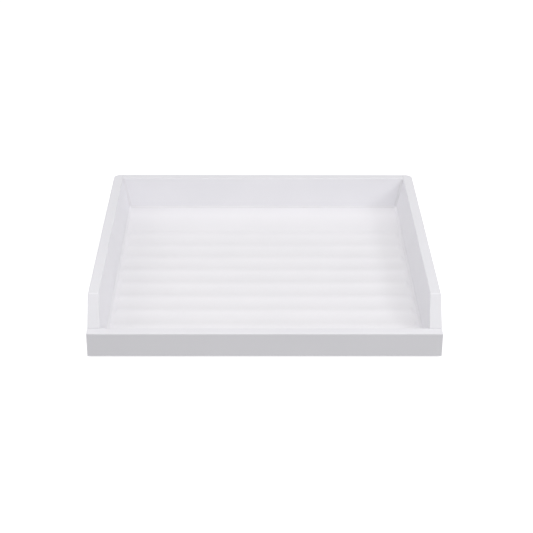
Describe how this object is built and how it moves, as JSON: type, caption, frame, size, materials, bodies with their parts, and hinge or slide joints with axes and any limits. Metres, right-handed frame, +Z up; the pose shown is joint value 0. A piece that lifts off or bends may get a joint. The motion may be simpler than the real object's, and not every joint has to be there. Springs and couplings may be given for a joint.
{
  "type": "developing tray",
  "caption": "Shallow near-square darkroom tray with three high thick walls that lean outwards, a low full-width front lip, long sloping wall ends and a cross-ridged floor on rubber feet.",
  "frame": {"origin": "on the bench plane under the feet, below the middle of the tray's bounding box", "axes": "+X to the right seen from the low front, +Y from the low front to the high back wall, +Z up"},
  "size_m": [0.5082, 0.5178, 0.0635],
  "materials": {
    "board": "satin white rigid plastic board, eased edges",
    "floor": "satin white formed sheet with soft cross ridges",
    "seal": "smooth satin white sealing strip",
    "frame": "sawn matt white plastic batten",
    "dowel": "plain white plastic rod",
    "foot_rubber": "matt dark grey rubber",
    "screw": "plain stainless steel"
  },
  "bodies": {
    "root": {"back_board": "board", "back_cove": "seal", "back_left_corner_cove": "seal", "back_right_corner_cove": "seal", "corner_block_back_left": "frame", "corner_block_back_right": "frame", "corner_block_front_left": "frame", "corner_block_front_right": "frame", "dowel_back_left_1": "dowel", "dowel_back_left_2": "dowel", "dowel_back_left_3": "dowel", "dowel_back_right_1": "dowel", "dowel_back_right_2": "dowel", "dowel_back_right_3": "dowel", "dowel_front_left_1": "dowel", "dowel_front_left_2": "dowel", "dowel_front_right_1": "dowel", "dowel_front_right_2": "dowel", "floor_bearer_left": "frame", "floor_bearer_middle": "frame", "floor_bearer_right": "frame", "floor_panel": "floor", "foot_back_left": "foot_rubber", "foot_back_right": "foot_rubber", "foot_front_left": "foot_rubber", "foot_front_right": "foot_rubber", "foot_screw_back_left": "screw", "foot_screw_back_right": "screw", "foot_screw_front_left": "screw", "foot_screw_front_right": "screw", "front_board": "board", "front_cove": "seal", "left_cove": "seal", "left_side_board": "board", "right_cove": "seal", "right_side_board": "board"}
  },
  "joints": []
}
